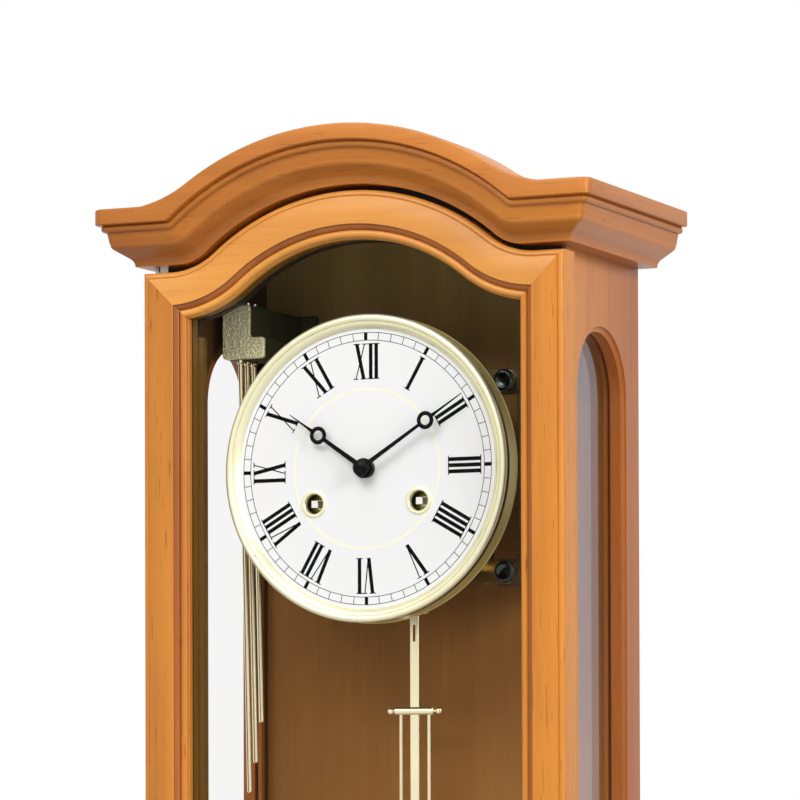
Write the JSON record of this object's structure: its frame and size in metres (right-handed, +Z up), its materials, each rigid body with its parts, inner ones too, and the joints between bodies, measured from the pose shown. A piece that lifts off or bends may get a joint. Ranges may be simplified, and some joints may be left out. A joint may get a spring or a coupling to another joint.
{
  "type": "regulator wall clock",
  "caption": "Glazed wooden wall clock with an arched moulded crown, arched side windows, a round numeral dial, a striking movement with rod gong, and a pendulum.",
  "frame": {"origin": "centre of the hanging eye, in the plane of the wall", "axes": "+X to the viewer's right, +Y into the wall, +Z up"},
  "size_m": [0.28, 0.14, 0.5999],
  "materials": {
    "case_wood": "satin lacquered cherry",
    "panel_wood": "satin, dark inside",
    "dark_wood": "dark stained",
    "black_strip": "matt black felt strip",
    "roof_wood": "plain pale skin",
    "window_glass": "clear",
    "steel": "plain",
    "screw_brass": "plain",
    "bezel_brass": "polished, pale",
    "dial_white": "white enamel paint",
    "hand_black": "black",
    "movement_brass": "plain",
    "dark_steel": "blackened",
    "gong_gold": "gold hammered paint",
    "rod_metal": "plain",
    "pendulum_brass": "polished"
  },
  "bodies": {
    "case": {"side_left": "case_wood", "side_right": "case_wood", "back_panel": "panel_wood", "hanging_rail": "panel_wood", "bottom_board": "case_wood", "head_board": "dark_wood", "face_strips": "case_wood", "dust_strips": "black_strip", "roof": "roof_wood", "crown_front": "case_wood", "crown_left": "case_wood", "crown_right": "case_wood", "base_front": "case_wood", "base_left": "case_wood", "base_right": "case_wood", "side_glass": "window_glass", "side_glass_beads": "dark_wood", "hanger_plate": "steel", "wood_screws": "screw_brass", "door_magnet": "steel", "door_pivots": "steel", "dial_plate": "dial_white", "bezel": "bezel_brass", "winding_collars": "screw_brass", "front_plate": "movement_brass", "back_plate": "movement_brass", "plate_pillars": "movement_brass", "movement_brackets": "steel", "thumb_screws": "dark_steel", "gong_block": "gong_gold", "gong_rods": "rod_metal", "gong_screws": "steel"},
    "door": {"door_left_stile": "case_wood", "door_right_stile": "case_wood", "door_top_rail": "case_wood", "door_bottom_rail": "case_wood", "door_glass": "window_glass", "door_glass_bead": "case_wood", "door_bushes": "screw_brass", "door_strike": "steel"},
    "pendulum": {"pendulum_rod": "pendulum_brass", "bob": "pendulum_brass"},
    "rating_nut": {"rating_nut": "pendulum_brass"},
    "anchor": {"anchor": "steel"},
    "minute_hand": {"centre_wheel": "movement_brass", "cannon_pinion": "movement_brass", "minute_hand": "hand_black", "hand_nut": "hand_black"},
    "hour_hand": {"hour_wheel": "movement_brass", "hour_hand": "hand_black"},
    "minute_wheel": {"minute_wheel": "movement_brass"},
    "second_wheel": {"second_wheel": "movement_brass"},
    "third_wheel": {"third_wheel": "movement_brass"},
    "escape_wheel": {"escape_wheel": "movement_brass"},
    "going_barrel": {"going_barrel": "movement_brass"},
    "strike_barrel": {"strike_barrel": "movement_brass"},
    "pin_wheel": {"pin_wheel": "movement_brass"},
    "going_winder": {"going_winder": "steel"},
    "strike_winder": {"strike_winder": "steel"},
    "hammers": {"hammers": "movement_brass"}
  },
  "joints": [
    {"name": "door_hinge", "type": "hinge", "parent": "case", "child": "door", "pos_m": [-0.1155, -0.112, -0.229], "axis": [0, 0, -1], "range_deg": [0, 105]},
    {"name": "pendulum_swing", "type": "hinge", "parent": "case", "child": "pendulum", "pos_m": [0, -0.04, -0.046], "axis": [0, 1, 0], "range_deg": [-4.5, 4.5]},
    {"name": "anchor_rock", "type": "hinge", "parent": "case", "child": "anchor", "pos_m": [0, -0.04, -0.046], "axis": [0, 1, 0], "range_deg": [-4.5, 4.5]},
    {"name": "rating_nut_turn", "type": "hinge", "parent": "pendulum", "child": "rating_nut", "pos_m": [0, -0.04, -0.377], "axis": [0, 0, 1], "continuous": true},
    {"name": "third_wheel_turn", "type": "hinge", "parent": "case", "child": "third_wheel", "pos_m": [-0.01159, -0.074, -0.07122], "axis": [0, 1, 0], "continuous": true},
    {"name": "minute_hand_turn", "type": "hinge", "parent": "case", "child": "minute_hand", "pos_m": [0, -0.089, -0.085], "axis": [0, 1, 0], "continuous": true},
    {"name": "hour_hand_turn", "type": "hinge", "parent": "case", "child": "hour_hand", "pos_m": [0, -0.097, -0.085], "axis": [0, 1, 0], "continuous": true},
    {"name": "minute_wheel_turn", "type": "hinge", "parent": "case", "child": "minute_wheel", "pos_m": [0, -0.097, -0.097], "axis": [0, 1, 0], "continuous": true},
    {"name": "second_wheel_turn", "type": "hinge", "parent": "case", "child": "second_wheel", "pos_m": [0.00112, -0.085, -0.10513], "axis": [0, 1, 0], "continuous": true},
    {"name": "escape_wheel_turn", "type": "hinge", "parent": "case", "child": "escape_wheel", "pos_m": [0, -0.074, -0.0599], "axis": [0, 1, 0], "continuous": true},
    {"name": "going_barrel_turn", "type": "hinge", "parent": "case", "child": "going_barrel", "pos_m": [0.0298, -0.074, -0.1025], "axis": [0, 1, 0], "continuous": true},
    {"name": "strike_barrel_turn", "type": "hinge", "parent": "case", "child": "strike_barrel", "pos_m": [-0.0298, -0.074, -0.1025], "axis": [0, 1, 0], "continuous": true},
    {"name": "pin_wheel_turn", "type": "hinge", "parent": "case", "child": "pin_wheel", "pos_m": [-0.03725, -0.085, -0.07468], "axis": [0, 1, 0], "continuous": true},
    {"name": "going_winding", "type": "hinge", "parent": "case", "child": "going_winder", "pos_m": [0.0298, -0.094, -0.1025], "axis": [0, 1, 0], "continuous": true},
    {"name": "strike_winding", "type": "hinge", "parent": "case", "child": "strike_winder", "pos_m": [-0.0298, -0.094, -0.1025], "axis": [0, 1, 0], "continuous": true},
    {"name": "hammer_lift", "type": "hinge", "parent": "case", "child": "hammers", "pos_m": [-0.05, -0.074, -0.084], "axis": [0, 1, 0], "range_deg": [0, 12]}
  ],
  "couplings": [
    {"joint": "anchor_rock", "follows": "pendulum_swing", "ratio": 1},
    {"joint": "minute_hand_turn", "follows": "third_wheel_turn", "ratio": -0.11111},
    {"joint": "hour_hand_turn", "follows": "third_wheel_turn", "ratio": -0.0092593},
    {"joint": "minute_wheel_turn", "follows": "third_wheel_turn", "ratio": 0.037037},
    {"joint": "second_wheel_turn", "follows": "third_wheel_turn", "ratio": 0.013889},
    {"joint": "escape_wheel_turn", "follows": "third_wheel_turn", "ratio": -12.5},
    {"joint": "going_barrel_turn", "follows": "third_wheel_turn", "ratio": -0.0019841},
    {"joint": "pin_wheel_turn", "follows": "strike_barrel_turn", "ratio": -7}
  ]
}
